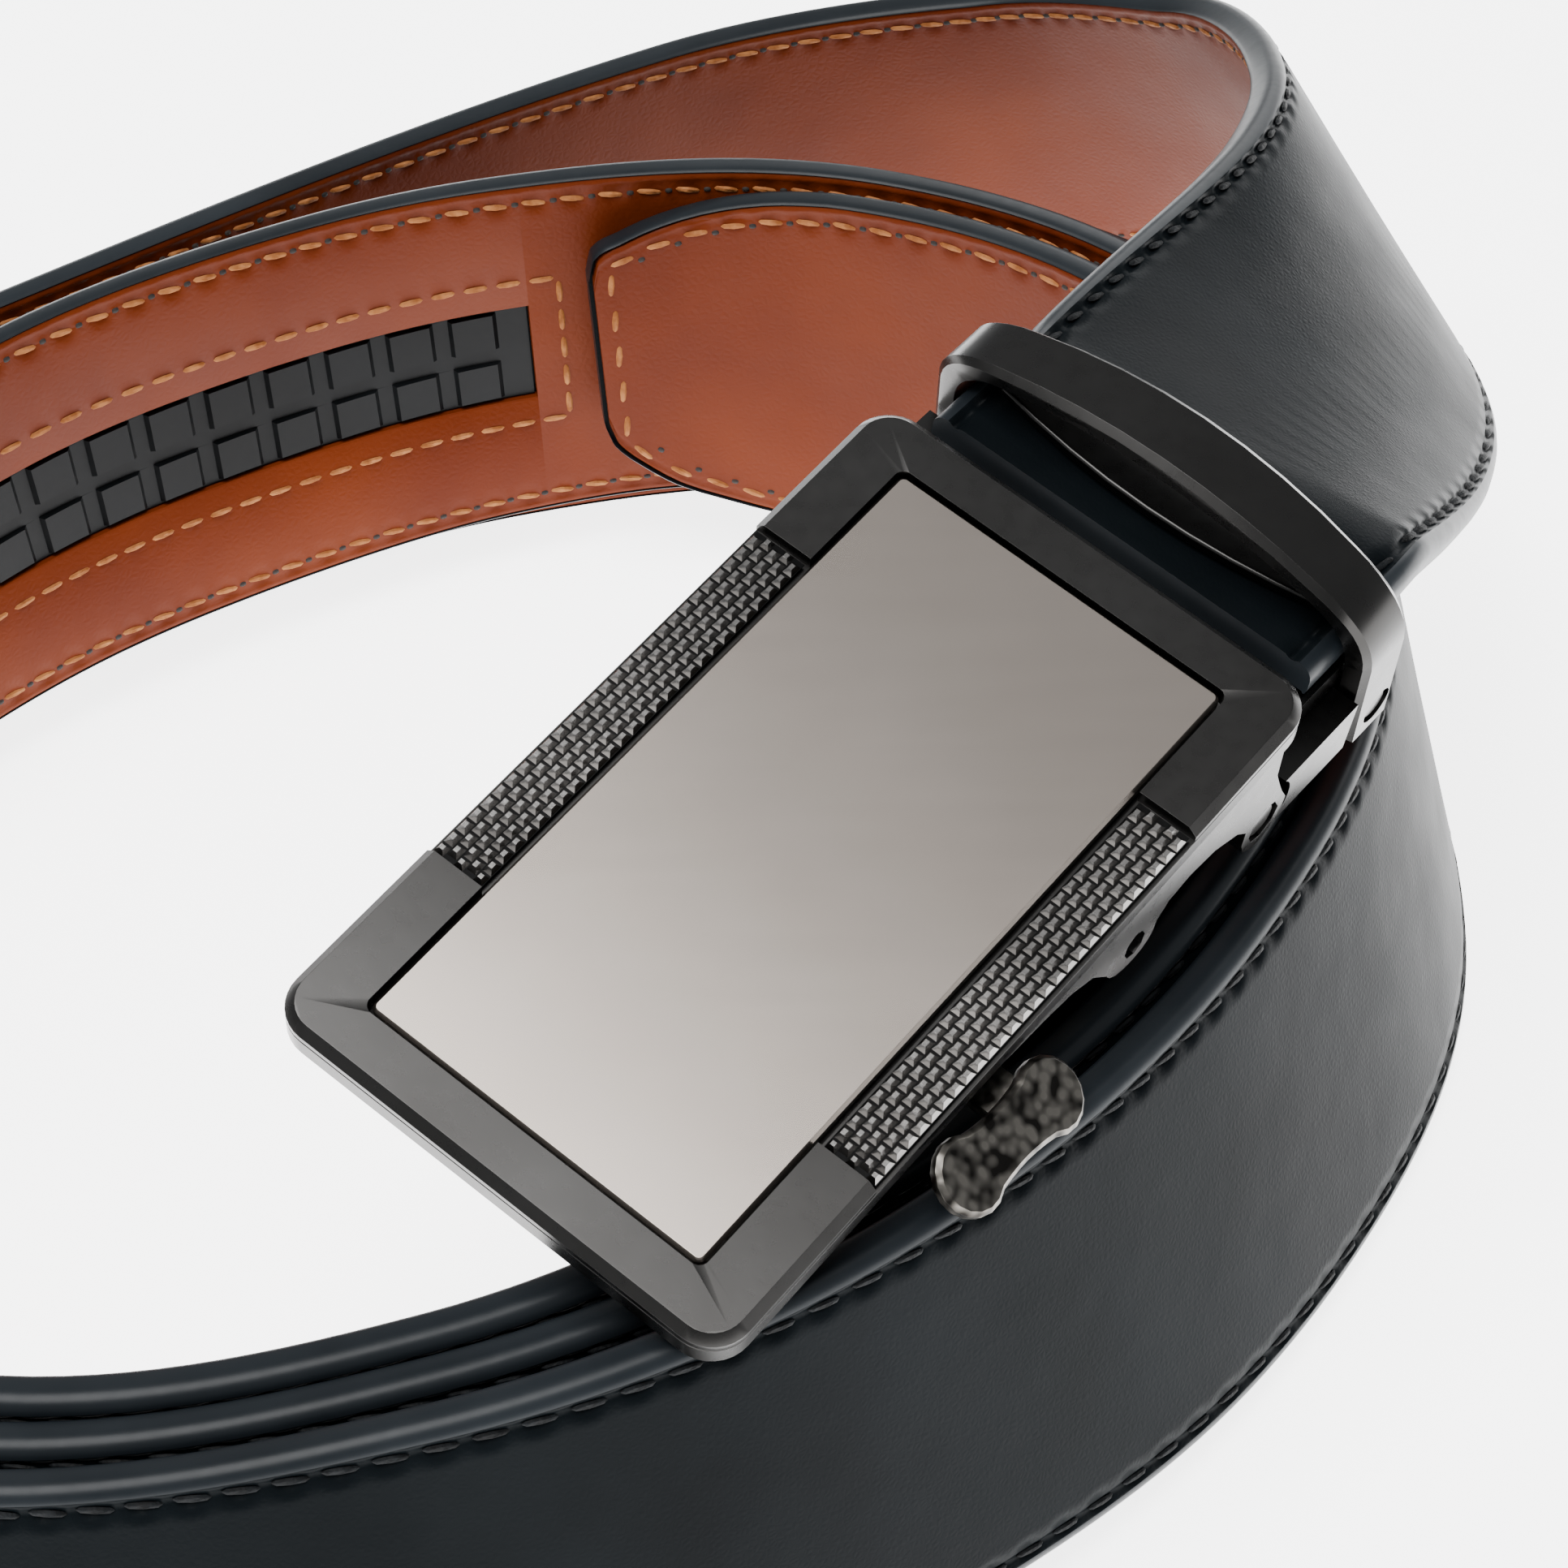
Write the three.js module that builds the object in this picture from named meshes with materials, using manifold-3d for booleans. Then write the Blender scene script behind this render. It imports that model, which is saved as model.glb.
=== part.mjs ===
// A ratchet belt: a stitched leather strap coiled on its lower edge, with its
// automatic buckle lying over the coil. Millimetres, +Z up, resting on z = 0.
import * as THREE from 'three';
import { mergeVertices } from 'three/addons/utils/BufferGeometryUtils.js';
import Module from 'manifold-3d';

const wasm = await Module();
wasm.setup();

// The gap left between pieces that touch, and the least step along the strap.
const seat_gap = 0.3;
const least_step = 0.4;

// The strap.
const strap_width = 35;
const strap_thickness = 3;
const edge_radius = 1.1;
const lip_width = 1;
const lining_thickness = 1;
const tip_length = 22;

// The coil, which turns clockwise from the tip outwards, seen from above.
const coil_radius = 65;
const coil_centre_x = -5;
const coil_centre_y = -15;
const layer_pitch = 5.3;
const tip_turn = 9;
const turn_step = 12;

// The ratchet track.
const track_width = 9.8;
const track_start = 110;
const track_end = 420;
const tooth_pitch = 5.9;
const tooth_height = 0.5;
const tooth_rise = 0.5;
const groove_width = 1.4;

// The buckle's place: the middle of the frame's strap end, on its face.
const buckle_x = 42.73;
const buckle_y = -30.31;
const buckle_z = strap_width + 21.88;
const buckle_heading = 47.3;
const buckle_climb = 10.65;
const buckle_bank = 15.3;

// The frame.
const frame_length = 67.1;
const frame_width = strap_width + 4.9;
const frame_corner = 3.2;
const rail_height = 1.2;
const rail_bevel = 0.7;
const frame_depth = 3.4;
const plate_end_margin = 4.25;
const plate_side_margin = 5.05;
const plate_thickness = 1.2;
const plate_drop = 0.15;
const plate_corner = 0.8;
const plate_bevel = 0.25;
const knurl_start = 15.15;
const knurl_length = 35.2;
const knurl_drop = 0.45;
const knurl_edge = 0.3;

// The frame's side walls and ears.
const wall_outside = strap_width + 5.8;
const wall_thickness = 1.8;
const ear_radius = 2.7;
const hinge_back = 4.95;
const hinge_drop = 11;
const hinge_pin_radius = 1.5;

// The release lever.
const lever_back = 20.95;
const lever_drop = 7.6;
const lever_pin_radius = 0.9;
const lever_hub_radius = 2;
const hub_margin = 1.75;
const pawl_length = 7;
const pawl_width = 9;
const pad_back = 39.95;
const pad_drop = 3.9;
const pad_reach = strap_width / 2 + 6.1;
const pad_length = 15.2;
const pad_lobe = 2.9;
const pad_waist = 2.1;
const pad_thickness = 1.3;
const pad_tilt = 30;
const pad_slope = 12;

// The clamp, which turns about the hinge pin.
const clamp_droop = 6;
const clamp_length = 18;
const strap_height = 6.9;
const strap_end = 7.5;
const clamp_wall = 1.4;
const clamp_plate_thickness = 1;
const clamp_plate_start = 10.2;
const clamp_plate_bow = 1.8;
const clamp_plate_inset = 2.6;
const link_depth = 2.6;
const link_top = 2.8;

// The keeper loop.
const keeper_outside = strap_width + 5.4;
const keeper_wall = 2;
const keeper_top = 1.6;
const keeper_start = 12.9;
const keeper_width = 5.3;
const keeper_bow = 1.1;
const keeper_height = 12.2;
const keeper_rise = 3;
const keeper_corner = 5.5;
const keeper_lean = 2.9;
const keeper_foot = 3.8;
const screw_radius = 1.3;
const screw_place = 15.6;
const screw_height = -1.2;

const degree = Math.PI / 180;

// The coil's outline: reach from its centre as a share of coil_radius.
const oval = [
  { heading: -180, reach: 1.02 },
  { heading: -150, reach: 1.17 },
  { heading: -120, reach: 1.21 },
  { heading: -90, reach: 1.03 },
  { heading: -60, reach: 0.905 },
  { heading: -30, reach: 0.885 },
  { heading: 0, reach: 0.97 },
  { heading: 30, reach: 1.06 },
  { heading: 60, reach: 0.995 },
  { heading: 90, reach: 0.86 },
  { heading: 120, reach: 0.80 },
  { heading: 150, reach: 0.86 },
];

// The strap's course by turns from the tip: the rise of its lower edge and its
// swing off the oval as shares of strap_width, and the lean of its upper edge outwards.
const course = [
  { turn: 0, rise: 0.11, swing: 0, lean: 7 },
  { turn: 60, rise: 0.13, swing: 0, lean: -3 },
  { turn: 120, rise: 0.07, swing: 0, lean: -7 },
  { turn: 180, rise: 0, swing: 0, lean: -9 },
  { turn: 225, rise: 0, swing: 0, lean: -8 },
  { turn: 270, rise: 0.05, swing: 0, lean: -2 },
  { turn: 315, rise: 0.14, swing: 0, lean: 6 },
  { turn: 345, rise: 0.135, swing: 0, lean: 6 },
  { turn: 375, rise: 0.13, swing: 0, lean: 1 },
  { turn: 405, rise: 0.09, swing: 0, lean: 2 },
  { turn: 450, rise: 0.045, swing: 0, lean: -8 },
  { turn: 495, rise: 0.025, swing: 0, lean: -10 },
  { turn: 540, rise: 0.015, swing: 0, lean: -14 },
  { turn: 585, rise: 0, swing: 0, lean: -13 },
  { turn: 630, rise: 0, swing: 0, lean: -1 },
  { turn: 675, rise: 0, swing: 0, lean: 4 },
  { turn: 765, rise: 0, swing: 0, lean: -3 },
  { turn: 810, rise: 0, swing: 0, lean: -14 },
  { turn: 850, rise: 0.035, swing: 0, lean: -14 },
  { turn: 880, rise: 0.07, swing: 0, lean: -10 },
  { turn: 920, rise: 0.03, swing: 0, lean: -18 },
  { turn: 960, rise: 0.035, swing: 0, lean: -6 },
  { turn: 1010, rise: 0.015, swing: 0.035, lean: 1 },
  { turn: 1050, rise: 0, swing: 0.075, lean: 3 },
];

// The tip's outline: how much of the half width is left above and below the middle.
const tip_outline = [
  { along: 0, above: 0.6, below: 0.3 },
  { along: 0.03, above: 0.72, below: 0.42 },
  { along: 0.14, above: 0.79, below: 0.57 },
  { along: 0.28, above: 0.86, below: 0.71 },
  { along: 0.48, above: 0.93, below: 0.83 },
  { along: 0.73, above: 0.98, below: 0.94 },
  { along: 1, above: 1, below: 1 },
];

// The last stretch, which turns over and climbs from the coil to the clamp: places off the
// coil's centre as shares of coil_radius, heights as shares of strap_width.
const tail = [
  { across: 0.24, away: 1.406, height: 0.515, lean: -6 },
  { across: 0.764, away: 1.469, height: 0.613, lean: -14 },
  { across: 1.1, away: 1.241, height: 0.822, lean: -26 },
  { across: 1.19, away: 0.855, height: 1.018, lean: -30 },
  { across: 1.132, away: 0.492, height: 1.202, lean: -45 },
];
const tail_turn = 1046;
const tail_steps = 22;
const clamp_run_past = 1.5;

function smoothRow(rows, key, column, at) {
  const last = rows.length - 1;
  let i = 0;
  while (i < last - 1 && rows[i + 1][key] <= at) i += 1;
  const slope = (j) => {
    const before = rows[Math.max(j - 1, 0)];
    const after = rows[Math.min(j + 1, last)];
    return (after[column] - before[column]) / (after[key] - before[key]);
  };
  const span = rows[i + 1][key] - rows[i][key];
  const u = (at - rows[i][key]) / span;
  const rise = (3 - 2 * u) * u * u;
  const value = rows[i][column] * (1 - rise) + rows[i + 1][column] * rise;
  const bend = u * (1 - u) * span * ((1 - u) * slope(i) - u * slope(i + 1));
  return value + bend;
}

const wholeOval = [-2, -1, 0, 1]
  .flatMap((lap) => oval.map((row) => ({ heading: row.heading + lap * 360, reach: row.reach })))
  .sort((a, b) => a.heading - b.heading);

function coilPoint(turn) {
  const heading = 90 - turn;
  const around = ((heading + 180) % 360 + 360) % 360 - 180;
  const swing = smoothRow(course, 'turn', 'swing', turn) * strap_width;
  const reach = smoothRow(wholeOval, 'heading', 'reach', around) * coil_radius;
  const radius = reach + layer_pitch * turn / 360 + swing;
  const lean = smoothRow(course, 'turn', 'lean', turn) * degree;
  const rise = Math.max(smoothRow(course, 'turn', 'rise', turn), 0) * strap_width;
  return {
    place: new THREE.Vector3(
      coil_centre_x + radius * Math.cos(around * degree),
      coil_centre_y + radius * Math.sin(around * degree),
      rise + strap_width / 2 * Math.cos(lean),
    ),
    lean,
  };
}

// The buckle's own frame: x towards the strap, y across it, z out of its face.
const buckle = new THREE.Group();
buckle.position.set(buckle_x, buckle_y, buckle_z);
buckle.rotation.set(buckle_bank * degree, -buckle_climb * degree, buckle_heading * degree, 'ZYX');
// The clamp's frame: its origin is on the hinge pin's axis.
const clampGroup = new THREE.Group();
clampGroup.position.set(-hinge_back, 0, -hinge_drop);
clampGroup.rotation.set(0, clamp_droop * degree, 0);
buckle.add(clampGroup);
buckle.updateMatrixWorld(true);

function clampAxis(x, y, z) {
  return new THREE.Vector3(x, y, z).transformDirection(clampGroup.matrixWorld);
}

function leanOf(across, travel) {
  const side = new THREE.Vector3(-travel.y, travel.x, 0).normalize();
  const upright = new THREE.Vector3().crossVectors(travel, side);
  if (upright.z < 0) upright.negate();
  return Math.atan2(across.dot(side), across.dot(upright));
}

// The strap's middle line from the tip to its cut end in the clamp.
function strapStations() {
  const stations = [];
  const steps = Math.round((tail_turn - tip_turn) / turn_step);
  for (let i = 0; i <= steps; i += 1) {
    stations.push(coilPoint(tip_turn + (tail_turn - tip_turn) * i / steps));
  }
  const inwards = clampAxis(-1, 0, 0);
  const clamp_lean = leanOf(clampAxis(0, 1, 0), inwards);
  const run_start = clamp_length + clamp_run_past;
  const run = [0, 0.5, 1].map((share) => ({
    place: new THREE.Vector3(run_start + (strap_end - run_start) * share, 0, strap_height)
      .applyMatrix4(clampGroup.matrixWorld),
    lean: clamp_lean,
  }));
  const bends = tail.map((row) => ({
    place: new THREE.Vector3(
      coil_centre_x + row.across * coil_radius,
      coil_centre_y + row.away * coil_radius,
      row.height * strap_width,
    ),
    lean: row.lean * degree,
  }));
  // The stretch is drawn smoothly through its few places.
  let reach = 0;
  const rows = [...stations.slice(-3, -1), ...bends, ...run].map((point, i, all) => {
    if (i > 0) reach += point.place.distanceTo(all[i - 1].place);
    return { reach, x: point.place.x, y: point.place.y, z: point.place.z, lean: point.lean };
  });
  const run_reach = rows[rows.length - 3].reach;
  const at = (place_reach) => ({
    place: new THREE.Vector3(...['x', 'y', 'z'].map((axis) => smoothRow(rows, 'reach', axis, place_reach))),
    lean: smoothRow(rows, 'reach', 'lean', place_reach),
  });
  stations.pop();
  for (let i = 1; i < tail_steps; i += 1) {
    stations.push(at(rows[1].reach + (run_reach - rows[1].reach) * i / tail_steps));
  }
  stations.push(...run);
  let along = 0;
  return stations.map((station, i) => {
    const before = stations[Math.max(i - 1, 0)].place;
    const after = stations[Math.min(i + 1, stations.length - 1)].place;
    const travel = after.clone().sub(before).normalize();
    const side = new THREE.Vector3(-travel.y, travel.x, 0).normalize();
    const upright = new THREE.Vector3().crossVectors(travel, side);
    if (upright.z < 0) upright.negate();
    const leaned = Math.sin(station.lean);
    const straight = Math.cos(station.lean);
    const up = upright.clone().multiplyScalar(straight).addScaledVector(side, leaned);
    const out = side.clone().multiplyScalar(straight).addScaledVector(upright, -leaned);
    if (i > 0) along += station.place.distanceTo(before);
    return { place: station.place, up, out, along };
  });
}

// Solids, joined and cut as closed bodies.
function solidOf(geometry) {
  const bare = geometry.clone();
  bare.deleteAttribute('normal');
  bare.deleteAttribute('uv');
  const merged = mergeVertices(bare, 1e-4);
  const vertProperties = Float32Array.from(merged.attributes.position.array);
  const triVerts = Uint32Array.from(merged.index.array);
  return new wasm.Manifold(new wasm.Mesh({ numProp: 3, vertProperties, triVerts }));
}

function geometryOf(solid) {
  const { vertProperties, triVerts, numProp } = solid.getMesh();
  const places = [];
  for (let i = 0; i < vertProperties.length; i += numProp) places.push(...vertProperties.slice(i, i + 3));
  const geometry = new THREE.BufferGeometry();
  geometry.setAttribute('position', new THREE.Float32BufferAttribute(places, 3));
  geometry.setIndex(Array.from(triVerts));
  geometry.computeVertexNormals();
  return geometry;
}

function material(color, roughness, metalness) {
  return new THREE.MeshStandardMaterial({ color, roughness, metalness });
}

function piece(name, shape, finish) {
  const geometry = shape.isBufferGeometry ? shape : geometryOf(shape);
  const mesh = new THREE.Mesh(geometry, finish);
  mesh.name = name;
  return mesh;
}

function roundedShape(x0, x1, y0, y1, radius) {
  const shape = new THREE.Shape();
  shape.moveTo(x0 + radius, y0);
  shape.lineTo(x1 - radius, y0);
  shape.absarc(x1 - radius, y0 + radius, radius, -Math.PI / 2, 0, false);
  shape.lineTo(x1, y1 - radius);
  shape.absarc(x1 - radius, y1 - radius, radius, 0, Math.PI / 2, false);
  shape.lineTo(x0 + radius, y1);
  shape.absarc(x0 + radius, y1 - radius, radius, Math.PI / 2, Math.PI, false);
  shape.lineTo(x0, y0 + radius);
  shape.absarc(x0 + radius, y0 + radius, radius, Math.PI, Math.PI * 1.5, false);
  return shape;
}

// A slab that stands from the level bottom up to the level top.
function slab(shape, bottom, top, bevel = 0, curveSegments = 4) {
  const geometry = new THREE.ExtrudeGeometry(shape, {
    depth: top - bottom - 2 * bevel,
    steps: 1,
    curveSegments,
    bevelEnabled: bevel > 0,
    bevelThickness: bevel,
    bevelSize: bevel,
    bevelOffset: -bevel,
    bevelSegments: 1,
  });
  geometry.translate(0, 0, bottom + bevel);
  return geometry;
}

// A slab whose outline is drawn in x and z and that runs from y0 to y1.
function upright(shape, y0, y1, bevel = 0, curveSegments = 4) {
  const geometry = slab(shape, -y1, -y0, bevel, curveSegments);
  geometry.rotateX(Math.PI / 2);
  return geometry;
}

function crossPin(radius, y0, y1, x, z, sides = 16) {
  const geometry = new THREE.CylinderGeometry(radius, radius, y1 - y0, sides);
  geometry.translate(x, (y0 + y1) / 2, z);
  return geometry;
}

function block(x0, x1, y0, y1, z0, z1) {
  const geometry = new THREE.BoxGeometry(x1 - x0, y1 - y0, z1 - z0);
  geometry.translate((x0 + x1) / 2, (y0 + y1) / 2, (z0 + z1) / 2);
  return geometry;
}

const stations = strapStations();
const strap_length = stations[stations.length - 1].along;

function stationAt(along) {
  let i = 0;
  while (i < stations.length - 2 && stations[i + 1].along < along) i += 1;
  const from = stations[i];
  const to = stations[i + 1];
  const share = (along - from.along) / (to.along - from.along);
  return {
    place: from.place.clone().lerp(to.place, share),
    up: from.up.clone().lerp(to.up, share).normalize(),
    out: from.out.clone().lerp(to.out, share).normalize(),
    along,
  };
}

// A profile may run either way round: the faces are turned so that they point outwards.
function facingOut(geometry) {
  const place = geometry.attributes.position;
  const order = geometry.index.array;
  const corner = (i) => new THREE.Vector3().fromBufferAttribute(place, order[i]);
  let volume = 0;
  for (let i = 0; i < order.length; i += 3) {
    volume += corner(i).dot(corner(i + 1).cross(corner(i + 2)));
  }
  if (volume < 0) {
    geometry.setIndex(Array.from(order).reverse());
  }
  return geometry;
}

// A closed ribbon along the strap. profileAt gives its section at a place along the
// strap, as points across it (towards the upper edge) and outwards.
function ribbon(start, end, stops, profileAt) {
  const middle = stations
    .map((station) => station.along)
    .filter((along) => along > start + least_step && along < end - least_step)
    .filter((along) => stops.every((stop) => Math.abs(stop - along) > least_step * 0.6));
  const places = [...middle, ...stops, start, end].sort((a, b) => a - b);
  const points = [];
  const faces = [];
  let ring = 0;
  places.forEach((along, i) => {
    const { place, up, out } = stationAt(along);
    const profile = profileAt(along);
    ring = profile.length;
    profile.forEach(([across, outward]) => {
      points.push(...place.clone().addScaledVector(up, across).addScaledVector(out, outward).toArray());
    });
    if (i === 0) return;
    for (let j = 0; j < ring; j += 1) {
      const a = (i - 1) * ring + j;
      const b = (i - 1) * ring + (j + 1) % ring;
      faces.push([a, b, a + ring], [b, b + ring, a + ring]);
    }
  });
  const capAt = (along) => {
    const contour = profileAt(along).map(([x, y]) => new THREE.Vector2(x, y));
    return THREE.ShapeUtils.triangulateShape(contour, []);
  };
  const last = (places.length - 1) * ring;
  capAt(start).forEach(([a, b, c]) => faces.push([a, c, b]));
  capAt(end).forEach(([a, b, c]) => faces.push([last + a, last + b, last + c]));
  const geometry = new THREE.BufferGeometry();
  geometry.setAttribute('position', new THREE.Float32BufferAttribute(points, 3));
  geometry.setIndex(faces.flat());
  return facingOut(geometry);
}

function tipShare(side, along) {
  const share = Math.min(along / tip_length, 1);
  return smoothRow(tip_outline, 'along', side, share);
}

const tip_stops = tip_outline.slice(1).map((row) => row.along * tip_length);
const half_width = strap_width / 2;
const half_thickness = strap_thickness / 2;

function strapOuter() {
  // The edge is rounded outside and eased inside.
  const ease = edge_radius * 0.6;
  const crown = (half) => [
    [half - ease, -half_thickness],
    [half, -half_thickness + ease],
    ...[90, 45, 0].map((turn) => [
      half - edge_radius + edge_radius * Math.sin(turn * degree),
      half_thickness - edge_radius + edge_radius * Math.cos(turn * degree),
    ]),
  ];
  const whole = ribbon(0, strap_length, tip_stops, (along) => {
    const above = crown(half_width * tipShare('above', along));
    const below = crown(half_width * tipShare('below', along))
      .map(([across, outward]) => [-across, outward])
      .reverse();
    return [...above, ...below];
  });
  const pocket_floor = -half_thickness + lining_thickness + seat_gap;
  const pocket_stops = tip_stops.map((stop) => stop + lip_width);
  const pocket = ribbon(lip_width, strap_length + strap_thickness, pocket_stops, (along) => {
    const above = half_width * tipShare('above', along - lip_width) - lip_width;
    const below = half_width * tipShare('below', along - lip_width) - lip_width;
    return [
      [above, -strap_thickness],
      [above, pocket_floor],
      [-below, pocket_floor],
      [-below, -strap_thickness],
    ];
  });
  return solidOf(whole).subtract(solidOf(pocket));
}

function strapLining() {
  const inset = lip_width + seat_gap;
  const top = -half_thickness + lining_thickness;
  const sheet = ribbon(inset, strap_length, tip_stops.map((stop) => stop + inset), (along) => {
    const above = half_width * tipShare('above', along - inset) - inset;
    const below = half_width * tipShare('below', along - inset) - inset;
    return [[above, -half_thickness], [above, top], [-below, top], [-below, -half_thickness]];
  });
  const window_half = track_width / 2;
  const opening = ribbon(track_start, track_end, [], () => [
    [window_half, -strap_thickness],
    [window_half, half_thickness],
    [-window_half, half_thickness],
    [-window_half, -strap_thickness],
  ]);
  return solidOf(sheet).subtract(solidOf(opening));
}

function ratchetTrack() {
  const half = track_width / 2 - seat_gap;
  const groove = groove_width / 2;
  const back = -half_thickness + lining_thickness - 0.1;
  const valley = -half_thickness + tooth_height + 0.1;
  const groove_floor = valley + 0.05;
  const start = track_start + seat_gap;
  const end = track_end - seat_gap;
  const count = Math.floor((end - start) / tooth_pitch);
  const first = start + (end - start - count * tooth_pitch) / 2;
  const stops = [];
  const heights = new Map();
  for (let i = 0; i < count; i += 1) {
    const foot = first + i * tooth_pitch;
    stops.push(foot, foot + tooth_rise);
    heights.set(foot, 0);
    heights.set(foot + tooth_rise, tooth_height);
  }
  return ribbon(start, end, stops, (along) => {
    let height = heights.get(along) ?? 0;
    const past_rise = (along - first) % tooth_pitch - tooth_rise;
    const on_tooth = along > first && along < first + count * tooth_pitch && past_rise > 0;
    if (on_tooth && !heights.has(along)) {
      height = tooth_height * (1 - past_rise / (tooth_pitch - tooth_rise));
    }
    const face = valley - height;
    return [
      [half, back],
      [-half, back],
      [-half, face],
      [-groove, face],
      [-groove, groove_floor],
      [groove, groove_floor],
      [groove, face],
      [half, face],
    ];
  });
}

const half_frame = frame_width / 2;
const plate_half = half_frame - plate_side_margin;
const plate_floor = -plate_drop - plate_thickness;
const wall_side = wall_outside / 2;
const wall_inner = wall_side - wall_thickness;

// The walls flare outwards from the rail's side down to the ears.
function flare(geometry, sign) {
  const place = geometry.attributes.position;
  const start = half_frame - seat_gap;
  for (let i = 0; i < place.count; i += 1) {
    const share = Math.min(-place.getZ(i) / hinge_drop, 1);
    place.setY(i, place.getY(i) - sign * (wall_side - start) * (1 - share));
  }
  return geometry;
}

function sideWall(sign) {
  const outline = new THREE.Shape();
  const top = -frame_depth / 2;
  const tab = -lever_back;
  const low = -lever_drop - lever_pin_radius - 1.1;
  const ear = -hinge_back;
  outline.moveTo(tab - 16, top);
  outline.lineTo(tab - 15, -frame_depth);
  outline.bezierCurveTo(tab - 9, -frame_depth - 0.6, tab - 5, -frame_depth - 0.8, tab - 3.4, -lever_drop);
  outline.quadraticCurveTo(tab - 2.6, low, tab, low);
  outline.quadraticCurveTo(tab + 2.2, low, tab + 2.6, -lever_drop);
  outline.bezierCurveTo(
    tab + 3.4, -frame_depth - 2.6, tab + 9, -frame_depth - 2.4, ear - 3.6, -hinge_drop + ear_radius,
  );
  outline.lineTo(ear - ear_radius * Math.sin(60 * degree), -hinge_drop + ear_radius * Math.cos(60 * degree));
  outline.absarc(ear, -hinge_drop, ear_radius, 150 * degree, 400 * degree, false);
  outline.quadraticCurveTo(ear + 1.4, -hinge_drop + 3.6, ear + 1, -frame_depth - 2.5);
  outline.lineTo(ear + 1.6, top);
  outline.closePath();
  for (const [x, z, radius] of [[ear, -hinge_drop, hinge_pin_radius], [tab, -lever_drop, lever_pin_radius]]) {
    const hole = new THREE.Path();
    hole.absarc(x, z, radius + seat_gap, 0, Math.PI * 2, true);
    outline.holes.push(hole);
  }
  const wall = sign > 0 ? upright(outline, wall_inner, wall_side) : upright(outline, -wall_side, -wall_inner);
  return solidOf(flare(wall, sign));
}

function buckleFrame() {
  const outline = roundedShape(-frame_length, 0, -half_frame, half_frame, frame_corner);
  const rail = (x0, x1) => solidOf(slab(
    roundedShape(x0, x1, -half_frame, half_frame, frame_corner), -rail_height - rail_bevel, 0, rail_bevel,
  ));
  const knurl_end = knurl_start + knurl_length;
  const pocket = roundedShape(
    -frame_length + plate_end_margin, -plate_end_margin, -plate_half, plate_half, plate_corner,
  );
  // The rails' legs end square beside the knurled strips.
  const beside = block(
    -knurl_end - seat_gap, -knurl_start + seat_gap, -half_frame, half_frame, -rail_height, 1,
  );
  return solidOf(slab(outline, -frame_depth, -rail_height + 0.2, 0.4))
    .add(rail(-frame_length, 0))
    .subtract(solidOf(beside))
    .subtract(solidOf(slab(pocket, plate_floor - seat_gap, 1)))
    .add(sideWall(1))
    .add(sideWall(-1));
}

function facePlate() {
  const shape = roundedShape(
    -frame_length + plate_end_margin + seat_gap, -plate_end_margin - seat_gap,
    -plate_half + seat_gap, plate_half - seat_gap, plate_corner - seat_gap / 2,
  );
  return slab(shape, plate_floor, -plate_drop, plate_bevel);
}

function knurlStrip(sign) {
  const inner = plate_half + seat_gap;
  const outer = half_frame - knurl_edge;
  const y0 = sign > 0 ? inner : -outer;
  return block(
    -knurl_start - knurl_length, -knurl_start, y0, y0 + outer - inner, -rail_height + seat_gap, -knurl_drop,
  );
}

function hingePin() {
  const half = wall_side - 0.2;
  return crossPin(hinge_pin_radius, -half, half, -hinge_back, -hinge_drop);
}

function leverPin() {
  const half = wall_side - 0.8;
  return crossPin(lever_pin_radius, -half, half, -lever_back, -lever_drop, 12);
}

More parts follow.
